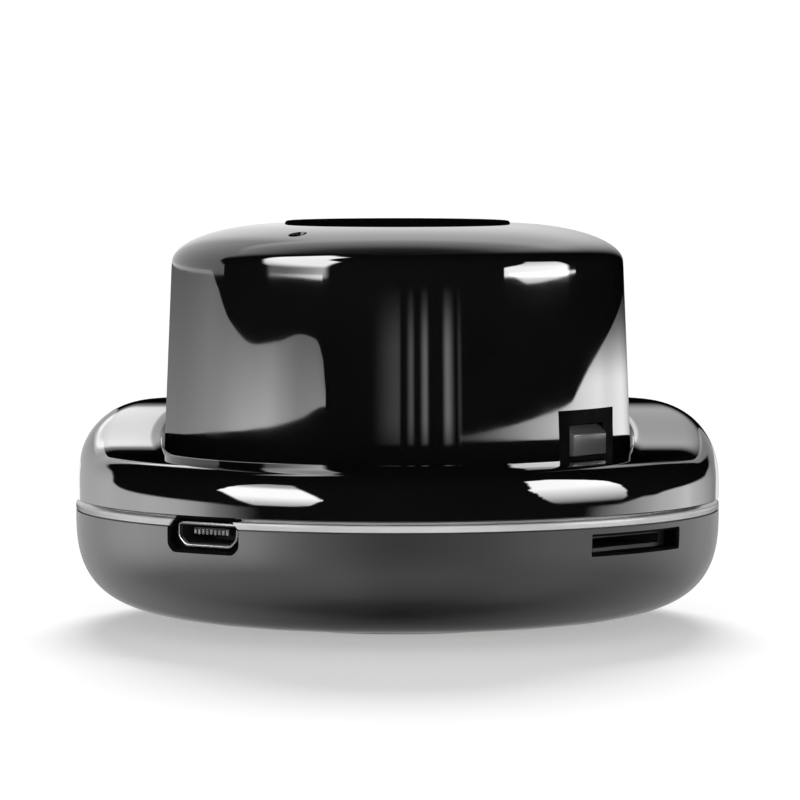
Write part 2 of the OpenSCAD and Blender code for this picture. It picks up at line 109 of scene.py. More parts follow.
PAD_H = high("foot_pad", 2)
BOARD_Z = low("main_board", 2)

USB_AZ = -35.5
CARD_AZ = 46.7
KEY_AZ = 54.0
PIN_AZ = -33.0
PIN_AT = 18.5
MOUNT_R = 19.0
MOUNT_AZ = (25, 145, 265)
CASE_SCREW_R = 13.5
CASE_SCREW_AZ = (85, 205, 325)

# ---------------------------------------------------------------- mesh tools


def smooth_step(t):
    t = min(max(t, 0.0), 1.0)
    return t * t * (3 - 2 * t)


def mix(a, b, t):
    return a + (b - a) * t


def at(az, r, z):
    """Point in millimetres at an azimuth from the front (-Y) towards +X."""
    a = math.radians(az)
    return Vector((r * math.sin(a), -r * math.cos(a), z))


def to_object(name, points, faces, angle=32):
    """A smooth-shaded object from millimetre points, with edges over the angle kept sharp."""
    mesh = bpy.data.meshes.new(name)
    mesh.from_pydata([tuple(p * MM for p in v) for v in points], [], faces)
    mesh.update()
    work = bmesh.new()
    work.from_mesh(mesh)
    bmesh.ops.recalc_face_normals(work, faces=work.faces)
    work.to_mesh(mesh)
    work.free()
    shade(mesh, angle)
    piece = bpy.data.objects.new(name, mesh)
    bpy.context.scene.collection.objects.link(piece)
    return piece


def shade(mesh, angle=32):
    mesh.polygons.foreach_set("use_smooth", [True] * len(mesh.polygons))
    mesh.set_sharp_from_angle(angle=math.radians(angle))


def swept(name, outline_at, sectors=SECTORS, angle=32):
    """A closed ring-shaped solid: outline_at(azimuth) gives its closed outline as (r, z) pairs."""
    points = []
    for s in range(sectors):
        az = 360 * s / sectors
        points += [at(az, r, z) for r, z in outline_at(az)]
    n = len(points) // sectors
    faces = []
    for s in range(sectors):
        t = (s + 1) % sectors
        for i in range(n):
            j = (i + 1) % n
            faces.append((s * n + i, s * n + j, t * n + j, t * n + i))
    return to_object(name, points, faces, angle)


def turned(name, outline, sectors=SECTORS, angle=32):
    """A solid of revolution from an outline that starts and ends on the axis."""
    points = [Vector((0, 0, outline[0][1])), Vector((0, 0, outline[-1][1]))]
    body = outline[1:-1]
    n = len(body)
    for s in range(sectors):
        points += [at(360 * s / sectors, r, z) for r, z in body]
    faces = []
    for s in range(sectors):
        a, b = 2 + s * n, 2 + ((s + 1) % sectors) * n
        faces += [(a + i, a + i + 1, b + i + 1, b + i) for i in range(n - 1)]
        faces += [(0, a, b), (1, b + n - 1, a + n - 1)]
    return to_object(name, points, faces, angle)


def prism(name, az, outline, v0, v1, angle=32):
    """A solid whose (sideways, height) outline runs from radius v0 out to v1 at an azimuth."""
    a = math.radians(az)
    out, side = Vector((math.sin(a), -math.cos(a), 0)), Vector((math.cos(a), math.sin(a), 0))
    n = len(outline)
    points = [side * u + out * v + Vector((0, 0, z)) for v in (v0, v1) for u, z in outline]
    faces = [tuple(range(n)), tuple(range(n, 2 * n))]
    faces += [(i, (i + 1) % n, n + (i + 1) % n, n + i) for i in range(n)]
    return to_object(name, points, faces, angle)


def rounded(outline, radius, steps=5):
    """The outline with its corners turned into arcs."""
    result = []
    n = len(outline)
    for i in range(n):
        p = Vector(outline[i])
        a, b = Vector(outline[i - 1]) - p, Vector(outline[(i + 1) % n]) - p
        reach = min(radius, a.length * 0.45, b.length * 0.45)
        start, end = p + a.normalized() * reach, p + b.normalized() * reach
        for k in range(steps + 1):
            t = k / steps
            result.append(tuple(start * (1 - t) ** 2 + p * 2 * t * (1 - t) + end * t * t))
    return result


def rectangle(width, z0, z1):
    return [(-width / 2, z0), (width / 2, z0), (width / 2, z1), (-width / 2, z1)]


def rod(name, az, r, radius, z0, z1, sides=48):
    centre = at(az, r, 0)
    turn = [2 * math.pi * i / sides for i in range(sides)]
    points = [centre + Vector((radius * math.cos(t), radius * math.sin(t), z))
              for z in (z0, z1) for t in turn]
    faces = [tuple(range(sides)), tuple(range(sides, 2 * sides))]
    faces += [(i, (i + 1) % sides, sides + (i + 1) % sides, sides + i) for i in range(sides)]
    return to_object(name, points, faces)


def apply_modifiers(piece):
    bpy.context.view_layer.update()
    graph = bpy.context.evaluated_depsgraph_get()
    mesh = bpy.data.meshes.new_from_object(piece.evaluated_get(graph))
    piece.modifiers.clear()
    piece.data = mesh


def combine(piece, tools, operation="DIFFERENCE", angle=32):
    """Cuts the tools out of a piece, or joins them to it, and removes the tools."""
    for tool in tools:
        m = piece.modifiers.new("combine", "BOOLEAN")
        m.operation = operation
        m.solver = "EXACT"
        m.object = tool
    apply_modifiers(piece)
    for tool in tools:
        bpy.data.objects.remove(tool)
    shade(piece.data, angle)


def bevelled(piece, width, segments=3, angle=32):
    m = piece.modifiers.new("bevel", "BEVEL")
    m.width = width * MM
    m.segments = segments
    m.limit_method = "ANGLE"
    m.angle_limit = math.radians(35)
    apply_modifiers(piece)
    shade(piece.data, angle)
    return piece


def merged(name, parts):
    """Several small solids as one piece."""
    work = bmesh.new()
    for part in parts:
        work.from_mesh(part.data)
        bpy.data.objects.remove(part)
    mesh = bpy.data.meshes.new(name)
    work.to_mesh(mesh)
    work.free()
    shade(mesh)
    piece = bpy.data.objects.new(name, mesh)
    bpy.context.scene.collection.objects.link(piece)
    return piece


# ---------------------------------------------------------------- materials


class Surface:
    """A Principled material with noise-driven colour, roughness and bump."""

    def __init__(self, name, color, rough, metallic=0.0, ior=1.5, coat=0.0, coat_rough=0.03):
        self.mat = bpy.data.materials.new(name)
        self.mat.use_nodes = True
        self.tree = self.mat.node_tree
        self.bsdf = self.tree.nodes["Principled BSDF"]
        self.color, self.rough = color, rough
        self.set("Metallic", metallic)
        self.set("IOR", ior)
        self.set("Coat Weight", coat)
        self.set("Coat Roughness", coat_rough)
        self.place = self.node("ShaderNodeTexCoord").outputs["Object"]
        self.height = None

    def set(self, socket, value):
        self.bsdf.inputs[socket].default_value = value

    def node(self, kind, **values):
        n = self.tree.nodes.new(kind)
        for key, value in values.items():
            setattr(n, key, value)
        return n

    def link(self, a, b):
        self.tree.links.new(a, b)

    def noise(self, size_mm, detail=3.0, stretch=(1, 1, 1)):
        scale = self.node("ShaderNodeMapping")
        scale.inputs["Scale"].default_value = [s / (size_mm * MM) for s in stretch]
        self.link(self.place, scale.inputs["Vector"])
        n = self.node("ShaderNodeTexNoise")
        n.inputs["Scale"].default_value = 1.0
        n.inputs["Detail"].default_value = detail
        self.link(scale.outputs["Vector"], n.inputs["Vector"])
        return n.outputs["Fac"]

    def ramp(self, source, stops):
        n = self.node("ShaderNodeValToRGB")
        while len(n.color_ramp.elements) < len(stops):
            n.color_ramp.elements.new(0.5)
        for element, (position, color) in zip(n.color_ramp.elements, stops):
            element.position = position
            element.color = (*color, 1.0)
        self.link(source, n.inputs["Fac"])
        return n.outputs["Color"]

    def span(self, source, lowest, highest):
        n = self.node("ShaderNodeMapRange")
        n.inputs["From Min"].default_value = 0.3
        n.inputs["From Max"].default_value = 0.7
        n.inputs["To Min"].default_value = lowest
        n.inputs["To Max"].default_value = highest
        self.link(source, n.inputs["Value"])
        return n.outputs["Result"]

    def maths(self, operation, a, b):
        n = self.node("ShaderNodeMath", operation=operation)
        for socket, value in zip(n.inputs, (a, b)):
            if isinstance(value, (int, float)):
                socket.default_value = value
            else:
                self.link(value, socket)
        return n.outputs[0]

    def radius(self):
        split = self.node("ShaderNodeSeparateXYZ")
        self.link(self.place, split.inputs[0])
        x, y, z = split.outputs
        square = self.maths("ADD", self.maths("MULTIPLY", x, x), self.maths("MULTIPLY", y, y))
        return self.maths("SQRT", square, 0.0), z

    def mottle(self, size_mm, amount, detail=3.0, stretch=(1, 1, 1)):
        dark = [c * (1 - amount) for c in self.color]
        light = [min(1.0, c * (1 + amount)) for c in self.color]
        noise = self.noise(size_mm, detail, stretch)
        self.link(self.ramp(noise, [(0.35, dark), (0.65, light)]), self.bsdf.inputs["Base Color"])
        return self

    def wear(self, size_mm, amount, detail=4.0, stretch=(1, 1, 1)):
        source = self.noise(size_mm, detail, stretch)
        result = self.span(source, self.rough * (1 - amount), min(1.0, self.rough * (1 + amount)))
        self.link(result, self.bsdf.inputs["Roughness"])
        return self

    def bump(self, source, depth_mm, strength=1.0):
        n = self.node("ShaderNodeBump")
        n.inputs["Strength"].default_value = strength
        n.inputs["Distance"].default_value = depth_mm * MM
        self.link(source, n.inputs["Height"])
        if self.height is not None:
            self.link(self.height, n.inputs["Normal"])
        self.height = n.outputs["Normal"]
        self.link(self.height, self.bsdf.inputs["Normal"])
        return self


def moulded(name, color, rough, ior=1.5, coat=0.0, peel=0.004, grain=0.0):
    """Moulded plastic: faint flow mottling, uneven gloss, orange peel and an optional fine grain."""
    s = Surface(name, color, rough, ior=ior, coat=coat)
    s.mottle(9.0, 0.10).wear(5.0, 0.35)
    s.bump(s.noise(4.0, 1.0), peel)
    if grain:
        s.bump(s.noise(0.18, 4.0), grain)
    return s


def sheet_metal(name, color, rough, stretch=(1, 1, 12), size_mm=1.2):
    """Plated or rolled metal with fine directional scratches."""
    s = Surface(name, color, rough, metallic=1.0)
    s.mottle(size_mm, 0.12, 4.0, stretch).wear(size_mm * 0.6, 0.45, 5.0, stretch)
    s.bump(s.noise(size_mm * 0.5, 4.0, stretch), 0.004)
    return s


def lathed(name, color, rough):
    """Turned metal with rings about the vertical axis."""
    s = Surface(name, color, rough, metallic=1.0)
    s.mottle(2.0, 0.10).wear(1.5, 0.3)
    r, z = s.radius()
    wave = s.maths("SINE", s.maths("MULTIPLY", s.maths("ADD", r, z), 2 * math.pi / (0.16 * MM)), 0.0)
    return s.bump(wave, 0.003)


def winding(name, color, pitch_mm=0.22):
    """Enamelled copper wire laid side by side, with painted shade darkening the valleys between the turns."""
    s = Surface(name, color, 0.28, metallic=0.9, coat=0.6)
    r, z = s.radius()
    turns = s.maths("SINE", s.maths("MULTIPLY", s.maths("ADD", r, z), 2 * math.pi / (pitch_mm * MM)), 0.0)
    half = s.maths("MULTIPLY_ADD", turns, 0.5)
    half.node.inputs[2].default_value = 0.5
    # painted shade: the copper colour darkens to about a third in the valleys between turns, where the bump
    # is lowest
    dark = [c * 0.35 for c in color]
    s.link(s.ramp(half, [(0.1, dark), (0.7, color)]), s.bsdf.inputs["Base Color"])
    return s.wear(0.8, 0.3).bump(half, 0.04)


def circuit_board(name):
    """Green solder mask over copper tracks."""
    s = Surface(name, (0.02, 0.16, 0.07), 0.32, coat=0.4)
    cell = s.node("ShaderNodeTexVoronoi", feature="DISTANCE_TO_EDGE", distance="MANHATTAN")
    cell.inputs["Scale"].default_value = 1 / (1.5 * MM)
    s.link(s.place, cell.inputs["Vector"])
    track = s.ramp(cell.outputs["Distance"], [(0.05, (0.05, 0.30, 0.13)), (0.09, s.color)])
    s.link(track, s.bsdf.inputs["Base Color"])
    s.wear(2.0, 0.3)
    return s.bump(cell.outputs["Distance"], 0.03).bump(s.noise(0.25), 0.01)


def make_materials():
    m = {}
    black = (0.0045, 0.0045, 0.005)
    m["window_black"] = moulded("window_black", black, 0.02, ior=1.9, peel=0.0006)
    m["case_gloss"] = moulded("case_gloss", black, 0.025, ior=1.9, peel=0.0006)
    m["case_dark"] = moulded("case_dark", (0.012, 0.012, 0.0123), 0.15, ior=1.7, peel=0.001, grain=0.0008)
    m["trim"] = moulded("trim", (0.62, 0.62, 0.625), 0.22, peel=0.001, grain=0.002)
    m["cap_matt"] = moulded("cap_matt", (0.003, 0.003, 0.003), 0.6, ior=1.15, grain=0.01)
    m["rubber"] = moulded("rubber", (0.004, 0.004, 0.004), 0.7, grain=0.02)
    m["bezel"] = moulded("bezel", (0.002, 0.002, 0.002), 0.8, ior=1.12, grain=0.008)
    m["key"] = moulded("key", (0.09, 0.09, 0.092), 0.22, ior=1.6, grain=0.003)
    m["head_plastic"] = moulded("head_plastic", (0.02, 0.02, 0.021), 0.5, grain=0.01)
    m["chip"] = moulded("chip", (0.012, 0.012, 0.013), 0.45, grain=0.008)
    m["led"] = moulded("led", (0.8, 0.74, 0.5), 0.2)
    m["light_pipe"] = moulded("light_pipe", (0.002, 0.002, 0.0025), 0.6, ior=1.2)
    m["flex"] = moulded("flex", (0.45, 0.2, 0.03), 0.25, coat=0.3)
    m["steel"] = sheet_metal("steel", (0.6, 0.6, 0.62), 0.28)
    m["steel_dark"] = sheet_metal("steel_dark", (0.3, 0.3, 0.32), 0.35)
    m["port_metal"] = sheet_metal("port_metal", (0.5, 0.5, 0.51), 0.3, size_mm=0.6)
    m["cast_plate"] = sheet_metal("cast_plate", (0.5, 0.51, 0.53), 0.5, stretch=(1, 1, 1), size_mm=0.5)
    m["bright_alloy"] = lathed("bright_alloy", (0.7, 0.7, 0.72), 0.25)
    m["brass"] = lathed("brass", (0.75, 0.55, 0.22), 0.25)
    m["copper"] = winding("copper", (0.72, 0.3, 0.12))
    m["board"] = circuit_board("board")
    lens = moulded("lens", (0.55, 0.45, 0.75), 0.04, coat=1.0)
    lens.set("Transmission Weight", 0.85)
    m["lens"] = lens
    return {slot: s.mat for slot, s in m.items()}


MATERIALS = make_materials()
SLOT_OF = {row["node"]: row["material_slot"] for row in frame["record"]["subparts"]}
for node, cad in frame["nodes"].items():
    cad.data.materials.clear()
    cad.data.materials.append(MATERIALS[SLOT_OF[node]])


def place(piece, slot, *nodes, body="base"):
    """Rides a piece on its body, gives it its finish and lets it stand for CAD nodes."""
    piece.data.materials.clear()
    piece.data.materials.append(MATERIALS[slot])
    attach(piece, body)
    if nodes:
        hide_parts(*nodes)
    return piece


# ---------------------------------------------------------------- case shells


def bowl(r0, r1, z0, z1, steps=56):
    """The bowl's rounded side, from the floor up to its widest place."""
    points = []
    for i in range(steps + 1):
        t = math.pi / 2 * i / steps
        r = r0 + (r1 - r0) * math.sin(t) ** (2 / BOWL_CURVE_R)
        points.append((r, z1 - (z1 - z0) * math.cos(t) ** (2 / BOWL_CURVE_Z)))
    return points


def usb_recess(v0, v1):
    w, z0, z1 = 4.45, 9.2, COVER_BASE
    outline = [(-w + 0.7, z0), (w - 0.7, z0), (w, z0 + 0.7), (w, z1 - 1.1), (w - 1.1, z1 + 0.05),
               (-w + 1.1, z1 + 0.05), (-w, z1 - 1.1), (-w, z0 + 0.7)]
    return prism("usb_cut", USB_AZ, rounded(outline, 0.35, 3), v0, v1)


def build_lower_shell():
    widest_z = RIM_Z - 0.4
    outer = bowl(FLOOR_R, BASE_R, FLOOR_Z, widest_z)
    inner = bowl(FLOOR_R - 1, INNER_R, FLOOR_Z + WALL, widest_z)
    rim = [(BASE_R, RIM_Z - 0.12), (BASE_R - 0.12, RIM_Z), (INNER_R, RIM_Z)]
    outline = [(0, FLOOR_Z)] + outer + rim + inner[::-1] + [(0, FLOOR_Z + WALL)]
    shell = turned("lower_case", outline)
    bosses = [rod("boss", az, CASE_SCREW_R, 2.5, FLOOR_Z + WALL - 0.3, BOARD_Z) for az in CASE_SCREW_AZ]
    bosses += [rod("boss", az, MOUNT_R, 3.2, FLOOR_Z + WALL - 0.3, 6.6) for az in MOUNT_AZ]
    combine(shell, bosses, "UNION")
    groove_r0, groove_r1 = PAD_IN - 0.1, PAD_OUT + 0.1
    groove = [(groove_r0, 0), (groove_r1, 0), (groove_r1, PAD_H), (groove_r0, PAD_H)]
    tools = [swept("groove", lambda az: groove)]
    tools += [rod("hole", az, CASE_SCREW_R, 1.8, 0, 2.5) for az in CASE_SCREW_AZ]
    tools += [rod("hole", az, CASE_SCREW_R, 1.0, 0, 9) for az in CASE_SCREW_AZ]
    tools += [rod("hole", az, MOUNT_R, 2.01, 0, 6.0) for az in MOUNT_AZ]
    tools.append(usb_recess(28, 35))
    tools.append(prism("slot", CARD_AZ, rounded(rectangle(13.4, 8.9, 11.15), 0.2, 3), 28, 35))
    combine(shell, tools)
    place(shell, "case_dark", "lower_shell")


def build_trim_ring():
    r0, r1 = INNER_R - 0.6, BASE_R
    edge = 0.14
    outline = [(r0, RIM_Z - 0.5), (INNER_R - 0.1, RIM_Z - 0.5), (INNER_R - 0.1, RIM_Z), (r1 - edge, RIM_Z)]
    outline += [(r1 - edge + edge * math.sin(t), RIM_Z + edge - edge * math.cos(t)) for t in (0.5, 1.0, 1.57)]
    outline += [(r1 - edge + edge * math.cos(t), RING_TOP - edge + edge * math.sin(t))
                for t in (0, 0.55, 1.1, 1.57)]
    outline += [(INNER_R - 0.1, RING_TOP), (INNER_R - 0.1, COVER_BASE + 0.5), (r0, COVER_BASE + 0.5)]
    ring = swept("silver_ring", lambda az: outline)
    combine(ring, [usb_recess(28, 35)])
    place(ring, "trim", "trim_ring")


def rear(y):
    return smooth_step((y - RISE_START_Y) / (RISE_END_Y - RISE_START_Y))


def cover_outline(az):
    """Outline of the cover at an azimuth; its rear shoulder stands higher than its front."""
    c = math.cos(math.radians(az))

    def top(r):
        return COVER_Z + RISE * rear(-r * c)

    def foot(r):
        return SHOULDER_Z + SHOULDER_Z_RISE * rear(-r * c)

    def arc(r1, t, drop):
        r = CREST_R + (r1 - CREST_R) * math.cos(t) ** (2 / SHOULDER_CURVE)
        return r, foot(r) + (top(r) - foot(r)) * math.sin(t) ** (2 / SHOULDER_CURVE) - drop

    quarter = math.pi / 2
    points = [(BASE_R - 0.1, COVER_BASE), (BASE_R, COVER_BASE + 0.1)]
    points += [arc(BASE_R, quarter * i / 40, 0) for i in range(41)]
    shelf = [mix(CREST_R, OPENING_R + 0.35, t) for t in (0.2, 0.4, 0.6, 0.8, 1)]
    points += [(r, top(r)) for r in shelf]
    points += [(OPENING_R + 0.1, top(OPENING_R) - 0.1), (OPENING_R, top(OPENING_R) - 0.35)]
    skirt_r = OPENING_R + WALL
    points += [(OPENING_R, SKIRT_Z), (skirt_r, SKIRT_Z), (skirt_r, top(skirt_r) - WALL)]
    for i in range(12, -1, -1):
        t = quarter * i / 12
        points.append(arc(INNER_R, t, WALL * math.sin(t) + 0.6 * (1 - math.sin(t))))
    points.append((INNER_R, COVER_BASE))
    return points


def build_upper_cover():
    place(swept("upper_case", cover_outline, angle=40), "case_gloss", "upper_cover")


def drum_wall_r(z):
    return mix(DRUM_FOOT_R, DRUM_TOP_R, (z - COVER_Z) / (DRUM_EDGE_Z - COVER_Z))


def roof(r_out, z_rim, steps=48):
    """Quarter ellipse of the drum's roof, from the wall's top edge in to the cap."""
    turns = [math.pi / 2 * i / steps for i in range(steps + 1)]
    return [(ROOF_RIM_R + (r_out - ROOF_RIM_R) * math.cos(t),
             DRUM_EDGE_Z + (z_rim - DRUM_EDGE_Z) * math.sin(t)) for t in turns]


def build_window():
    wall = 1.5
    outline = [(0, CAP_SEAT - wall)] + roof(DRUM_TOP_R - wall, CAP_SEAT - wall)[::-1]
    outline += [(drum_wall_r(z) - wall, z) for z in (33, 29, 25, 21, COVER_Z)]
    outline += [(DRUM_FOOT_R - wall, FLANGE_Z), (FLANGE_R, FLANGE_Z), (FLANGE_R, FLANGE_Z + 1.4),
                (DRUM_FOOT_R, FLANGE_Z + 1.4), (DRUM_FOOT_R, COVER_Z)]
    outline += [(drum_wall_r(z), z) for z in (20, 23, 26, 29, 32, 35)] + roof(DRUM_TOP_R, ROOF_RIM_Z)
    outline += [(ROOF_RIM_R, CAP_SEAT), (0, CAP_SEAT)]
    drum = turned("drum", outline)
    notch = prism("notch", KEY_AZ, rectangle(9.8, 17.4, 22.8), 18, 26)
    pinhole = rod("pinhole", PIN_AZ, PIN_AT, 0.95, 36, 43)
    combine(drum, [notch, pinhole])
    posts = [rod("post", az, 15, 1.8, 37.7, CAP_SEAT - 1) for az in (60, 180, 300)]
    combine(drum, posts, "UNION")
    place(drum, "window_black", "scan_window")


def build_cap():
    edge = 0.3
    outline = [(0, CAP_SEAT), (CAP_R, CAP_SEAT), (CAP_R, TOP_Z - 0.22)]
    outline += [(CAP_R - edge + edge * math.cos(t), TOP_Z - 0.22 + 0.22 * math.sin(t))
                for t in (0.4, 0.8, 1.2)]
    outline += [(CAP_R - edge, TOP_Z), (CAP_R - 1.2, TOP_Z), (CAP_R - 1.3, TOP_Z - 0.08), (0, TOP_Z - 0.08)]
    place(turned("roof_disc", outline, sectors=192), "cap_matt", "top_cap")


def build_foot():
    """Rubber ring with rounded edges and two shallow grip grooves."""
    edge = 0.3
    mid = (PAD_IN + PAD_OUT) / 2
    outline = [(PAD_IN, PAD_H), (PAD_IN, edge)]
    outline += [(PAD_IN + edge - edge * math.cos(t), edge - edge * math.sin(t)) for t in (0.5, 1.0, 1.57)]
    for groove in (mid - 0.8, mid + 0.8):
        outline += [(groove - 0.3, 0), (groove - 0.15, 0.25), (groove + 0.15, 0.25), (groove + 0.3, 0)]
    outline += [(PAD_OUT - edge + edge * math.sin(t), edge - edge * math.cos(t)) for t in (0, 0.5, 1.0, 1.57)]
    outline += [(PAD_OUT, PAD_H)]
    place(swept("foot_ring", lambda az: outline, sectors=192, angle=50), "rubber", "foot_pad")


# ---------------------------------------------------------------- ports and key


def build_usb():
    """Socket shell with rounded folds, tongue and contacts."""
    w, z0, z1 = 3.75, 9.75, 12.25
    face, back = 32.4, 26.4

    def profile(inset):
        return rounded([(-w + 0.95 + inset * 0.4, z0 + inset), (w - 0.95 - inset * 0.4, z0 + inset),
                        (w - inset, z0 + 0.95), (w - inset, z1 - inset), (-w + inset, z1 - inset),
                        (-w + inset, z0 + 0.95)], 0.42 - inset * 0.6, 5)

    shell = prism("usb_shell", USB_AZ, profile(0), back, face)
    combine(shell, [prism("usb_inner", USB_AZ, profile(0.25), back + 0.6, face + 1)])
    bevelled(shell, 0.07, 2)
    foot = prism("usb_foot", USB_AZ, rectangle(6, 9.1, 9.9), back, 27.1)
    shell = merged("usb_socket", [shell, foot])
    place(shell, "port_metal", "usb_connector")
    liner = prism("usb_liner", USB_AZ, profile(0.26), back + 0.6, face - 0.3)
    combine(liner, [prism("usb_liner_inner", USB_AZ, profile(0.36), back + 1.0, face + 1)])
    place(liner, "chip", "usb_contacts")
    tongue_outline = rounded(rectangle(4.4, 11.1, 11.65), 0.12, 3)
    tongue = prism("usb_tongue_body", USB_AZ, tongue_outline, back + 0.65, face - 0.7)
    place(tongue, "chip", "usb_contacts")
    teeth = []
    for i in range(9):
        u = (i - 4) * 0.5
        outline = [(u - 0.13, 11.0), (u + 0.13, 11.0), (u + 0.13, 11.5), (u - 0.13, 11.5)]
        teeth.append(prism("tooth", USB_AZ, rounded(outline, 0.05, 2), back + 0.65, face - 0.6))
    place(merged("usb_teeth", teeth), "steel", "usb_contacts")


def build_key():
    """Push key with a sloped upper face and soft edges; its flange stays behind the bezel."""
    z0, z1 = 18.1, 21.2
    face, back = 24.2, 21.2
    a = math.radians(KEY_AZ)
    out, side = Vector((math.sin(a), -math.cos(a), 0)), Vector((math.cos(a), math.sin(a), 0))
    outline = [(back, z0), (back, z1), (face - 1.0, z1), (face, z1 - 0.9), (face, z0)]
    points = [side * u + out * v + Vector((0, 0, z)) for u in (-2.95, 2.95) for v, z in outline]
    n = len(outline)
    faces = [tuple(range(n)), tuple(range(n, 2 * n))]
    faces += [(i, (i + 1) % n, n + (i + 1) % n, n + i) for i in range(n)]
    key = bevelled(to_object("key_cap", points, faces), 0.14, 3)
    flange = prism("key_flange", KEY_AZ, rectangle(7.3, z0 - 0.6, z1 + 0.6), back, back + 0.55)
    flange = bevelled(flange, 0.08, 2)
    place(merged("push_key", [key, flange]), "key", "mode_button", body="button")


for build in (build_lower_shell, build_trim_ring, build_upper_cover, build_window, build_cap, build_foot,
              build_usb, build_key):
    build()

# ---------------------------------------------------------------- camera

EYE_DISTANCE = 515
EYE_HEIGHT = 53.2
PITCH = 3.37
LENS = 222.5
EYE = Vector((0.26, -EYE_DISTANCE, EYE_HEIGHT))
lens = bpy.data.cameras.new("camera")
lens.lens = LENS
lens.sensor_width = 36
lens.clip_start = 0.01
lens.clip_end = 20
camera = bpy.data.objects.new("camera", lens)
bpy.context.scene.collection.objects.link(camera)
camera.location = EYE * MM
camera.rotation_euler = (math.radians(90 - PITCH), 0, 0)
bpy.context.scene.camera = camera

# ---------------------------------------------------------------- studio

TENT_R = 400
DOME_R = 3500


def group(name, pieces):
    """A collection that names which pieces a light falls on."""
    collection = bpy.data.collections.new(name)
    for piece in pieces:
        collection.objects.link(piece)
    return collection


MESHES = [o for o in bpy.context.scene.objects if o.type == "MESH"]
for o in MESHES:
    o.visible_glossy = o.name != "upper_case"  # the drum mirrors the studio, not the cover
COVER = group("cover_light", [o for o in MESHES if o.name == "upper_case"])
SHELL = group("shell_light", [o for o in MESHES if o.name == "lower_case"])
APART = ("upper_case", "lower_case", "roof_disc")
DRUM = group("drum_light", [o for o in MESHES if o.name not in APART])


def glow_sheet(name, rows, lit=None):
    """A sheet of light from rows of (point in millimetres, strength); only gloss and mirrors see it."""
    points = [p * MM for row in rows for p, _ in row]
    n = len(rows[0])
    faces = [(i * n + j, i * n + j + 1, (i + 1) * n + j + 1, (i + 1) * n + j)
             for i in range(len(rows) - 1) for j in range(n - 1)]
    mesh = bpy.data.meshes.new(name)
    mesh.from_pydata(points, [], faces)
    level = mesh.attributes.new("level", "FLOAT", "POINT")
    level.data.foreach_set("value", [s for row in rows for _, s in row])
    mat = bpy.data.materials.new(name)
    mat.use_nodes = True
    tree = mat.node_tree
    tree.nodes.clear()
    source = tree.nodes.new("ShaderNodeAttribute")
    source.attribute_name = "level"
    glow = tree.nodes.new("ShaderNodeEmission")
    clear = tree.nodes.new("ShaderNodeBsdfTransparent")
    both = tree.nodes.new("ShaderNodeAddShader")
    out = tree.nodes.new("ShaderNodeOutputMaterial")
    tree.links.new(source.outputs["Fac"], glow.inputs["Strength"])
    tree.links.new(glow.outputs[0], both.inputs[0])
    tree.links.new(clear.outputs[0], both.inputs[1])
    tree.links.new(both.outputs[0], out.inputs[0])
    mesh.materials.append(mat)
    sheet = bpy.data.objects.new(name, mesh)
    bpy.context.scene.collection.objects.link(sheet)
    sheet.visible_camera = False
    sheet.visible_diffuse = False
    sheet.visible_shadow = False
    sheet.visible_transmission = False
    if lit:
        sheet.light_linking.receiver_collection = lit
    return sheet


def bounced(point, normal):
    """Direction of the camera's ray to a point after its reflection."""
    ray = (point - EYE).normalized()
    return ray - 2 * ray.dot(normal) * normal


def mirrored(point, normal):
    """Where the camera's ray to a point lands on the tent after its reflection."""
    bounce = bounced(point, normal)
    a = bounce.x ** 2 + bounce.y ** 2
    b = 2 * (point.x * bounce.x + point.y * bounce.y)
    c = point.x ** 2 + point.y ** 2 - TENT_R ** 2
    return point + bounce * ((-b + math.sqrt(b * b - 4 * a * c)) / (2 * a))


def on_drum(phi, z):
    tilt = math.atan((DRUM_FOOT_R - DRUM_TOP_R) / (DRUM_EDGE_Z - COVER_Z))
    a = math.radians(phi)
    normal = Vector((math.sin(a) * math.cos(tilt), -math.cos(a) * math.cos(tilt), math.sin(tilt)))
    return at(phi, drum_wall_r(z), z), normal


def drum_glow(name, phi0, phi1, bottom, top, strength, columns=60, rows=12):
    """A sheet of light that the drum's wall shows between two azimuths and two heights."""
    grid = []
    for i in range(columns + 1):
        u = i / columns
        phi = mix(phi0, phi1, u)
        z0, z1 = bottom(phi), top(phi)
        line = []
        for j in range(rows + 1):
            v = j / rows
            line.append((mirrored(*on_drum(phi, mix(z0, z1, v))), strength(phi, v)))
        grid.append(line)
    return glow_sheet(name, grid, DRUM)


def dome_glow(name, az0, az1, el0, el1, level, lit=None, step=1.5, radius=None, low=None):
    """A sheet of light on a dome round the object; level(azimuth, elevation) gives its strength.

    low(azimuth) can give its lower edge.
    """
    radius = radius or DOME_R + 3 * len(bpy.data.meshes)  # no two sheets touch
    columns, rows = round((az1 - az0) / step), round((el1 - el0) / step)
    grid = []
    for i in range(columns + 1):
        az = mix(az0, az1, i / columns)
        bottom = low(az) if low else el0
        line = []
        for j in range(rows + 1):
            el = mix(bottom, el1, j / rows)
            e = math.radians(el)
            line.append((at(az, radius * math.cos(e), radius * math.sin(e)), level(az, el)))
        grid.append(line)
    return glow_sheet(name, grid, lit)


def edge(x, width):
    """Rises from 0 to 1 as x passes zero, over a width."""
    return smooth_step(x / width + 0.5)


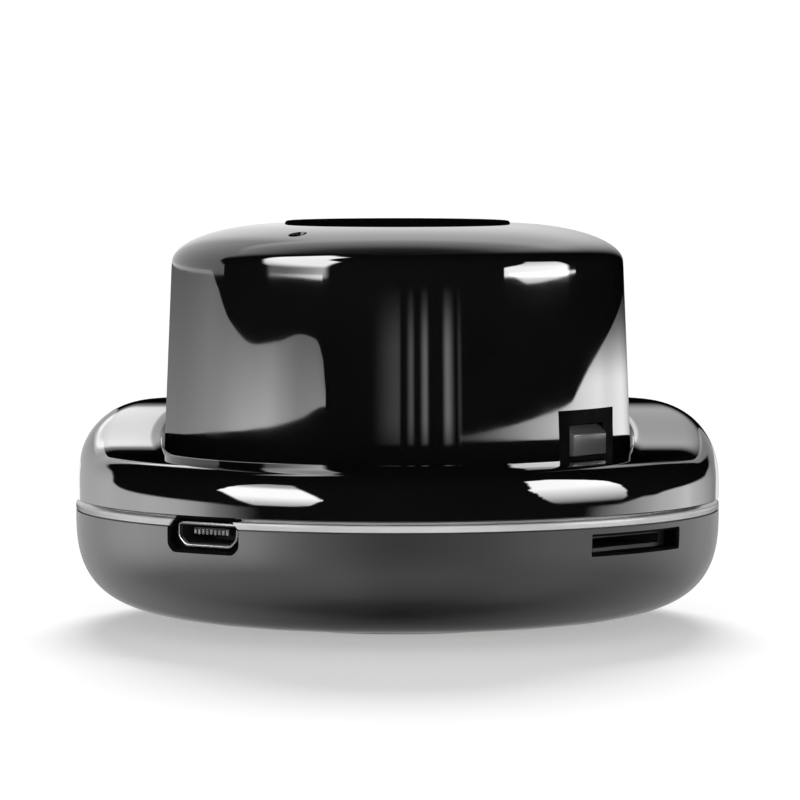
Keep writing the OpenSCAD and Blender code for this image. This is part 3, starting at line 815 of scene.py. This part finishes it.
def curve(stops):
    """A smooth function through (position, value) stops."""
    def slope(k):
        if k in (0, len(stops) - 1):
            return 0.0
        (x0, y0), (x1, y1), (x2, y2) = stops[k - 1:k + 2]
        before, after = (y1 - y0) / (x1 - x0), (y2 - y1) / (x2 - x1)
        return 2 * before * after / (before + after) if before * after > 0 else 0.0

    def value(x):
        if x <= stops[0][0]:
            return stops[0][1]
        for k, ((x0, y0), (x1, y1)) in enumerate(zip(stops, stops[1:])):
            if x <= x1:
                t, w = (x - x0) / (x1 - x0), x1 - x0
                a = (2 * t ** 3 - 3 * t * t + 1) * y0 + (3 * t * t - 2 * t ** 3) * y1
                return a + w * ((t ** 3 - 2 * t * t + t) * slope(k) + (t ** 3 - t * t) * slope(k + 1))
        return stops[-1][1]
    return value


def light_drum():
    # Left of the drum, below a curved line towards the middle
    left_level = curve([(-89, 0.17), (-70, 0.55), (-50, 1.6), (-38, 2.7), (-33, 2.9), (-28, 2.2),
                        (-24, 1.7), (-17, 1.7)])
    left_top = curve([(-89, 37.6), (-53, 37.6), (-51.3, 36), (-45.5, 31.9), (-37.1, 29.6), (-30, 30.0),
                      (-24.2, 30.7), (-20, 30.2), (-18.2, 28.5), (-17.3, 25)])
    left_bottom = curve([(-89, 19.45), (-50, 20.5), (-33, 21.3), (-24, 22.3), (-17.3, 23.6)])
    drum_glow("glow_left", -89, -17.3, left_bottom, left_top,
              lambda phi, v: left_level(phi) * mix(1.3, 0.65, v), columns=90)
    # Right of the drum: a sheet whose upper edge falls towards the middle, dimmer with height
    right_top = curve([(15, 20.7), (25, 21.3), (37, 22.4), (47, 23.6), (50, 25), (55, 27.2), (68, 31.1),
                       (80, 34), (88, 36)])
    right_bottom = curve([(15, 20.2), (50, 19.8), (88, 19.2)])
    right_level = curve([(15, 0.5), (25, 1.6), (35, 3.2), (52, 5.2), (58, 4.9), (63, 3.7), (72, 2.7),
                         (80, 1.1), (85, 0.42), (88, 0.25)])
    dim = curve([(25, 1.0), (28.6, 0.48), (30.6, 0.22), (32.5, 0.09), (35, 0.03)])
    drum_glow("glow_right", 15, 88, right_bottom, right_top,
              lambda phi, v: right_level(phi) * dim(mix(right_bottom(phi), right_top(phi), v)),
              columns=90, rows=24)
    # Slim upright tubes of light in front: start, brightest azimuth, end and level of each
    tubes = ((-6.5, 0.3, 0.9, 0.42), (2.0, 3.3, 4.3, 0.7), (5.2, 6.7, 7.7, 1.15), (10.6, 12.0, 14.0, 1.3),
             (14.3, 15.0, 15.8, 0.28))
    for i, (start, peak, end, level) in enumerate(tubes):
        rise = curve([(start, 0), (peak, level), (end, 0)])
        drum_glow(f"glow_tube_{i}", start, end, lambda phi: 17.9, lambda phi: 36.3,
                  lambda phi, v, rise=rise: rise(phi) * smooth_step(v / 0.26) * smooth_step((1 - v) / 0.42),
                  columns=16, rows=24)
    # The lower tips of the two softboxes, just below the roof's edge
    tip = curve([(-33, 37.4), (-25, 37.2), (-18.5, 36.9)])
    drum_glow("tip_left", -33, -18.5, tip, lambda phi: 37.7, lambda phi, v: mix(5, 1.5, (-18.5 - phi) / 14.5))
    other_tip = curve([(28.4, 37.4), (33.8, 36.1), (42.3, 36.6), (50, 37.3)])
    drum_glow("tip_right", 28.4, 50, other_tip, lambda phi: 37.7, lambda phi, v: mix(5, 7.5, v))


def above_wall(az):
    """The elevation mirrored at the top of the wall; the roof mirrors the ones above it."""
    phi = (az + 180) % 360 - 180
    bounce = bounced(*on_drum(phi / 2, DRUM_EDGE_Z))
    return math.degrees(math.atan(math.tan(math.asin(bounce.z)) + DRUM_EDGE_Z / DOME_R)) + 0.05


def light_roof():
    back_level = curve([(3, 1.0), (20, 1.25), (31, 1.3), (38, 1.4), (46, 0.95), (53, 0.7), (58, 0.45),
                        (66, 0.13), (78, 0.05), (90, 0.02)])
    panel_top = curve([(190, 38), (207, 41), (220, 44), (227, 44), (233, 41), (241, 35.5), (248, 28),
                       (257, 17), (262, 8)])

    def level(az, el):
        back = back_level(el) * edge(az - 176 + 0.72 * el, 22) * edge(236 - az, 24)
        panel = edge(panel_top(az) - el, 3) * edge(az - 190, 8)
        return mix(back, 0.82, panel)
    dome_glow("glow_back", 120, 262, -3, 90, level, DRUM, 1, low=above_wall)
    # Two softboxes high in front
    left_start = curve([(6, -68), (34, -80), (56, -100), (66, -98)])
    left_end = curve([(6, -36), (48, -37), (60, -54), (72, -60)])

    def left(az, el):
        window = edge(az - left_start(el), 4) * edge(left_end(el) - az, 4) * edge(73 - el, 3)
        return 8.3 * window * mix(0.12, 1.0, smooth_step((el - 6) / 34 + (az + 67) / 60))
    dome_glow("softbox_left", -104, -32, 2, 76, left, DRUM, 1, low=above_wall)

    def right(az, el):
        window = edge(az - 58 - 0.7 * (el - 8), 3) * edge(96 - az, 3) * edge(36 - 0.4 * (az - 76) - el, 3)
        return mix(8.5, 4.8, (el - 5) / 28) * window
    dome_glow("softbox_right", 55, 99, 1, 46, right, DRUM, 1, low=above_wall)


def lens_light(name, low, high, rise):
    """A softbox between two curves of elevation over azimuth; rise(elevation) gives its level."""
    (start, end) = low[0][0], low[-1][0]
    bottom, top, level = curve(low), curve(high), curve(rise)
    dome_glow(name, start, end, -2, 62,
              lambda az, el: level(el) * edge(el - bottom(az), 1) * edge(top(az) - el, 2), COVER, 1)


def light_cover():
    # Low band round the left side
    left = curve([(-178, 0.8), (-155, 1.0), (-143, 1.3), (-136, 1.6), (-130, 1.9), (-124, 2.2),
                  (-117, 2.4), (-107, 2.75), (-96, 3.2), (-85, 3.2), (-78, 2.9), (-73, 2.5), (-67, 1.5),
                  (-60, 0.85), (-54, 0.3), (-48, 0)])
    left_top = curve([(-170, 28), (-160, 25), (-155, 22), (-139, 21.5), (-128, 16), (-122, 8),
                      (-115, 4), (-107, 2.6), (-100, 2), (-91, 1.5), (-78, 0.8), (-67, 0), (-54, -1.5)])
    dome_glow("band_left", -172, -45, -12, 32,
              lambda az, el: left(az) * edge(left_top(az) - el, 1.5), COVER, 1)
    # Low band round the right side
    right = curve([(68, 0), (77, 1.0), (84, 1.6), (91, 2.0), (97, 2.4), (109, 2.9), (124, 2.9),
                   (130, 2.2), (137, 1.6), (149, 0.8), (156, 0.5), (164, 0.6)])
    right_top = curve([(70, -3), (84, -2.5), (92, -0.5), (97, 1), (103, 1.2), (109, 3), (116, 4),
                       (131, 4.6), (144, 5), (149, 7), (153, 9), (157, 14), (160, 24), (165, 26)])
    dome_glow("band_right", 68, 165, -12, 30,
              lambda az, el: right(az) * edge(right_top(az) - el, 1.5), COVER, 1)
    # Behind, seen in the raised rear shoulder, and low on the horizon for its far edge
    back = curve([(163, 0.6), (167, 0.85), (176, 1.25), (180, 1.3), (184, 1.6), (187, 1.3), (190, 1.1),
                  (196, 1.1)])
    dome_glow("cover_back", 163, 196, 12, 38, lambda az, el: back(az) * edge(el - 23, 10), COVER, 1)
    dome_glow("cover_rim", 158, 202, -12, 4,
              lambda az, el: 0.9 * edge(3.0 - el, 1) * edge(az - 160, 4), COVER, 0.5)
    # Soft streak beside the foot of the drum
    dome_glow("streak_back", -179, -162, 20, 42,
              lambda az, el: 1.25 * edge(-166 - az, 2) * edge(az + 177, 3) * edge(el - 24, 2)
              * edge(40 - el, 2), COVER, 1)
    streak = curve([(-163, 0), (-158, 2.2), (-150, 2.9), (-140, 1.4), (-134, 0)])
    dome_glow("streak_side", -163, -134, 58, 68, lambda az, el: streak(az) * edge(el - 60.5, 2), COVER, 1)
    # Two lens-shaped softboxes high in front
    lens_light("lens_left", [(-69, 20), (-62, 12), (-57, 5), (-50, 0.6), (-40, 0.6), (-31, 1.5), (-26, 8.5)],
         [(-69, 20), (-66, 37), (-58, 46), (-48, 46), (-38, 33), (-30, 18), (-26, 10)],
         [(0, 3.5), (3, 5), (8, 8), (14, 10), (28, 10), (38, 4), (46, 3)])
    lens_light("lens_right", [(50, 24), (52.5, 9), (57, 1.5), (62, 0.3), (85, 0.3), (88, 3), (92, 36)],
         [(50, 28), (57, 43), (70, 56), (84, 56), (90, 46), (92, 38)],
         [(0, 0.3), (3, 2.3), (10, 5), (20, 7.5), (30, 9.5), (60, 9)])


def light_shell():
    upper = curve([(-180, 0.5), (-150, 0.8), (-132, 1.2), (-115, 2.1), (-98, 2.8), (-56, 2.7),
                   (-41, 1.6), (-27, 0.95), (0, 0.42), (28, 0.6), (58, 1.1), (87, 1.15), (109, 1.25),
                   (136, 0.95), (150, 0.7), (180, 0.5)])
    lower = curve([(-180, 0.2), (-150, 0.6), (-129, 0.8), (-108, 0.85), (-75, 1.0), (-28, 0.95),
                   (0, 0.66), (30, 0.66), (64, 0.8), (93, 0.66), (118, 0.64), (155, 0.45), (180, 0.2)])
    fade = curve([(-90, 0.1), (-75, 0.22), (-60, 0.6), (-45, 0.85), (-30, 1.0), (0, 1.0)])
    dome_glow("shell_light", -180, 180, -89, 4,
              lambda az, el: mix(upper(az), lower(az), smooth_step((-5 - el) / 25)) * fade(el), SHELL, 3)


def light_from_floor():
    """What gloss would mirror of the pale floor, well below the horizon."""
    shiny = group("floor_glow_light", [*DRUM.objects, *COVER.objects])
    dome_glow("floor_glow", -180, 180, -75, -7,
              lambda az, el: 0.6 * edge(-14 - el, 14) * mix(0.6, 1.0, math.cos(math.radians(az + 60)) ** 2),
              shiny, 4)


light_drum()
light_roof()
light_from_floor()
light_cover()
light_shell()

SKY_LEVEL = 0.24
world = bpy.data.worlds.new("studio")
bpy.context.scene.world = world
world.use_nodes = True
world.node_tree.nodes["Background"].inputs["Color"].default_value = (1, 1, 1, 1)
world.node_tree.nodes["Background"].inputs["Strength"].default_value = SKY_LEVEL
world.cycles_visibility.glossy = False

backdrop = dome_glow("backdrop", 0, 360, -60, 90, lambda az, el: 1.0, step=10, radius=9000)
backdrop.visible_camera = True
backdrop.visible_glossy = False


def add_light(name, kind, energy, location, turn, **settings):
    """A lamp that lights surfaces but isn't mirrored in them."""
    lamp = bpy.data.lights.new(name, kind)
    lamp.energy = energy
    for key, value in settings.items():
        setattr(lamp, key, value)
    holder = bpy.data.objects.new(name, lamp)
    holder.location = Vector(location) * MM
    holder.rotation_euler = [math.radians(a) for a in turn]
    holder.visible_glossy = False
    bpy.context.scene.collection.objects.link(holder)


add_light("back_sun", "SUN", 2.75, (0, 300, 300), (-58, 0, 0), angle=math.radians(26))
add_light("front_fill", "AREA", 0.35, (0, -300, 45), (84, 0, 0), shape="RECTANGLE", size=0.4, size_y=0.05)

floor_surface = Surface("floor", (0.93, 0.93, 0.93), 0.6, ior=1.0)
floor_surface.set("Emission Color", (1, 1, 1, 1))
floor_surface.set("Emission Strength", 0.38)
floor_surface.mottle(30.0, 0.01).bump(floor_surface.noise(1.5), 0.01)
FLOOR_HALF = 4000
corners = [Vector((x * FLOOR_HALF, y * FLOOR_HALF, 0)) for x, y in ((-1, -1), (1, -1), (1, 1), (-1, 1))]
floor = to_object("floor", corners, [(0, 1, 2, 3)])
floor.data.materials.append(floor_surface.mat)
floor.visible_glossy = False

scene = bpy.context.scene
scene.view_settings.view_transform = "Standard"
scene.view_settings.look = "None"
